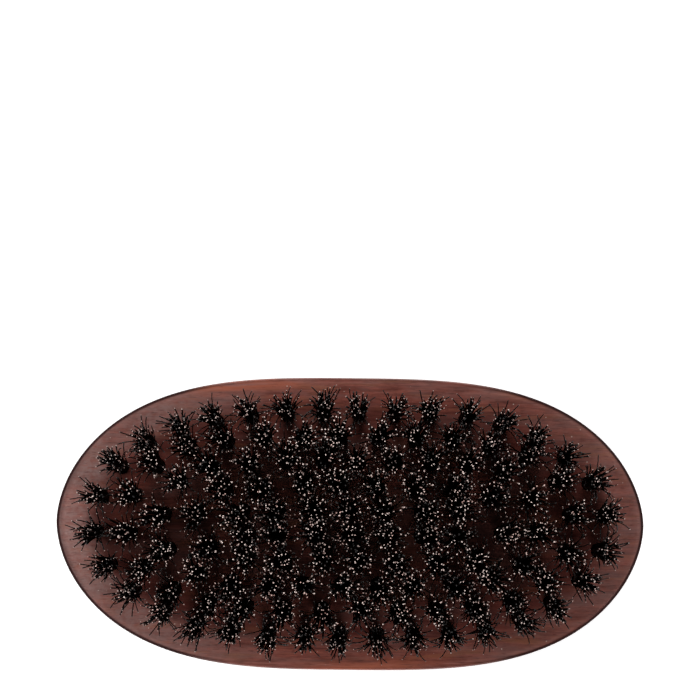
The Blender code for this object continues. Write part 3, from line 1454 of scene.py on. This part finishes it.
    def _hairs(self, rng: np.random.Generator) -> bpy.types.Object:
        """Copy the one bristle along every line.

        Args:
            rng: The row's random numbers.

        Returns:
            The bristles as one object.
        """
        tufts = [self._tuft(np.array(place), rng) for place in self.row.places]
        *ends, tones, radii = (np.concatenate(parts) for parts in zip(*tufts))
        roots, bends, tips = (end[:, None, :] for end in ends)
        count = len(roots)
        unit = self.bristle.corners
        rise = unit[None, :, 2:3]
        line = roots * (1 - rise) ** 2 + bends * 2 * rise * (1 - rise) + tips * rise**2
        turn = rng.uniform(0.0, 2 * math.pi, count)[:, None]
        x = unit[None, :, 0] * np.cos(turn) - unit[None, :, 1] * np.sin(turn)
        y = unit[None, :, 0] * np.sin(turn) + unit[None, :, 1] * np.cos(turn)
        tip_size = rng.uniform(*self.tip_size, count)[:, None, None]
        radius = radii[:, None, None] * (1 + (tip_size - 1) * rise**4)
        line[:, :, :2] += np.stack([x, y], 2) * radius
        faces = [
            tuple(corner_index + number * len(unit) for corner_index in face)
            for number in range(count)
            for face in self.bristle.faces
        ]
        mesh = bpy.data.meshes.new("hairs")
        mesh.from_pydata(line.reshape(-1, 3).tolist(), [], faces)
        slots = np.tile(self.bristle.is_tip, count).astype(int)
        mesh.polygons.foreach_set("material_index", slots)
        self._carry(mesh, "hair_tone", np.repeat(tones, len(unit)))
        self._carry(mesh, "hair_rise", np.tile(unit[:, 2], count))
        mesh.update()
        return placed("hairs", mesh)

    @staticmethod
    def _carry(mesh: bpy.types.Mesh, name: str, values: np.ndarray) -> None:
        """Store a number on each vertex.

        Args:
            mesh: The mesh.
            name: The attribute's name.
            values: One number for each vertex.
        """
        layer = mesh.attributes.new(name, "FLOAT", "POINT")
        layer.data.foreach_set("value", values.astype(np.float32))


@dataclass
class DrawingWires:
    """The wires, one for each row, whose solids are right as they are."""

    rows: list[TuftRow]

    def dress(self, finish: bpy.types.Material) -> int:
        """Give each wire its finish.

        Args:
            finish: The material.

        Returns:
            How many wires were dressed.
        """
        for row in self.rows:
            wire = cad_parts[f"drawing_wire_{row.number}"]
            wire.data.materials.clear()
            wire.data.materials.append(finish)
        return len(self.rows)


# The studio


@dataclass(frozen=True)
class Softbox:
    """A soft lamp that is aimed at the brush."""

    name: str
    place: Triple
    size: Pair
    power: float
    aim: Triple = (0.0, 0.0, FACE)

    def hang(self) -> bpy.types.Object:
        """Hang the lamp.

        Returns:
            The lamp.
        """
        lamp = bpy.data.lights.new(self.name, "AREA")
        lamp.shape = "RECTANGLE"
        lamp.size, lamp.size_y = self.size
        lamp.energy = self.power
        obj = placed(self.name, lamp)
        obj.location = self.place
        away = Vector(self.aim) - Vector(self.place)
        obj.rotation_mode = "QUATERNION"
        obj.rotation_quaternion = away.to_track_quat("-Z", "Y")
        return obj


@dataclass(frozen=True)
class PhotoCamera:
    """The camera above the middle of the brush, tilted so that the brush lies low in view."""

    place: Triple = (0.0, 0.0, 469.4 * MM)
    aim: Triple = (-0.264 * MM, 29.613 * MM, 15.6 * MM)
    roll: float = 0.009255
    field_of_view: float = math.radians(15.0)

    def set_up(self) -> bpy.types.Object:
        """Set the camera up as the scene's own.

        Returns:
            The camera.
        """
        camera = bpy.data.cameras.new("photo_camera")
        camera.sensor_fit = "HORIZONTAL"
        camera.angle = self.field_of_view
        obj = placed("photo_camera", camera)
        towards = (Vector(self.aim) - Vector(self.place)).normalized()
        right = towards.cross(Vector((0.0, 1.0, 0.0))).normalized()
        up = right.cross(towards)
        axes = Matrix((right, up, -towards)).transposed()
        turn = axes @ Matrix.Rotation(self.roll, 3, "Z")
        obj.matrix_world = Matrix.Translation(self.place) @ turn.to_4x4()
        bpy.context.scene.camera = obj
        return obj


@dataclass
class Studio:
    """A plain pale floor and soft lamps, at a level at which a colour renders as written."""

    floor_size: float = 6.0
    floor_colour: float = 0.8
    floor_glow: float = 0.58
    glow_grows: Pair = (0.15, 0.8)
    horizon: float = 0.64
    horizon_band: Rise = Rise(0.75, 0.15)
    overhead: float = 0.064
    lamps: tuple[Softbox, ...] = (
        Softbox("upper_softbox", (-0.10, 0.80, 0.80), (0.7, 0.5), 8.2),
        Softbox("lower_softbox", (0.10, -0.80, 0.80), (0.7, 0.5), 7.5),
        Softbox("left_softbox", (-0.85, 0.10, 0.80), (0.5, 0.7), 5.0),
    )
    camera: PhotoCamera = PhotoCamera()

    def floor(self) -> bpy.types.Object:
        """Lay the floor: pale, with the brush's shadow, and white to the camera elsewhere.

        Returns:
            The floor.
        """
        bpy.ops.object.select_all(action="DESELECT")
        bpy.ops.mesh.primitive_plane_add(size=self.floor_size, location=(0.0, 0.0, 0.0))
        floor = bpy.context.active_object
        floor.name = "floor"
        bench, material = ShaderBench.material("pale_floor")
        paper = bench.node("ShaderNodeBsdfDiffuse", inputs={"Color": (self.floor_colour,) * 3})
        direct, glossy, through = self._rays(bench)
        shown = direct.or_more(glossy).or_more(through)
        x, y, _ = bench.axes(bench.place((MM, MM, MM)))
        far = (x * x + y * y).ease(self.glow_grows[0] ** 2, self.glow_grows[1] ** 2)
        colour = bench.mix(far, (self.floor_glow,) * 3, (1.0, 1.0, 1.0))
        glow = bench.node("ShaderNodeEmission", inputs={"Color": colour, "Strength": shown})
        both = bench.node("ShaderNodeAddShader", inputs={0: paper.outputs[0], 1: glow.outputs[0]})
        bench.node("ShaderNodeOutputMaterial", inputs={"Surface": both.outputs[0]})
        floor.data.materials.append(material)
        return floor

    @staticmethod
    def _rays(bench: ShaderBench) -> tuple[Signal, ...]:
        """Whether the camera sees a place directly, in a reflection or through glass.

        Args:
            bench: The bench of the floor or the world.

        Returns:
            For each of the three, 1 or 0.
        """
        path = bench.node("ShaderNodeLightPath")
        kinds = ("Camera", "Glossy", "Transmission")
        return tuple(Signal(bench, path.outputs[f"Is {kind} Ray"]) for kind in kinds)

    def world(self) -> None:
        """Fill the room with light: bright at the horizon, dim above, white to the camera."""
        world = bpy.data.worlds.new("pale_room")
        bpy.context.scene.world = world
        world.use_nodes = True
        world.node_tree.nodes.clear()
        bench = ShaderBench(world.node_tree)
        direct, glossy, through = self._rays(bench)
        direction = bench.node("ShaderNodeTexCoord").outputs["Generated"]
        _, _, up = bench.axes(direction)
        low = self.horizon_band.of(up)
        room = self.overhead + low * (self.horizon - self.overhead)
        shown = direct.or_more(through).or_more(glossy * low)
        strength = room + shown * (1 - room)
        light = bench.node(
            "ShaderNodeBackground", inputs={"Color": (1.0, 1.0, 1.0), "Strength": strength}
        )
        bench.node("ShaderNodeOutputWorld", inputs={"Surface": light.outputs[0]})

    def build(self) -> None:
        """Set up the floor, the room's light, the lamps and the camera."""
        self.floor()
        self.world()
        for softbox in self.lamps:
            softbox.hang()
        self.camera.set_up()
        bpy.context.scene.view_settings.view_transform = "Standard"


def main() -> None:
    """Build the brush, piece by piece, and then the studio round it."""
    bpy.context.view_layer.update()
    rows = TuftRow.all_rows()
    log.info("rows: %s tufts", [len(row.places) for row in rows])

    cover = BackCover()
    piece = cover.build(BackWood(joint=cover.joint).make())
    log.info("%s: %d faces", piece.name, len(piece.data.polygons))

    board = FaceBoard(rows)
    piece = board.build(FaceWood(board.oval, board.face).make())
    log.info("%s: %d faces", piece.name, len(piece.data.polygons))

    bristle = Bristle()
    finishes = [BristleHair().make(), CutTip().make(), GlueBed().make()]
    for row in rows:
        piece = BristleRow(row, bristle).build(finishes)
        log.info("%s: %d faces", piece.name, len(piece.data.polygons))

    log.info("%d drawing wires dressed", DrawingWires(rows).dress(DrawnWire().make()))

    Studio().build()


if __name__ == "__main__":
    logging.basicConfig(level=logging.INFO, format="%(name)s: %(message)s")
    main()
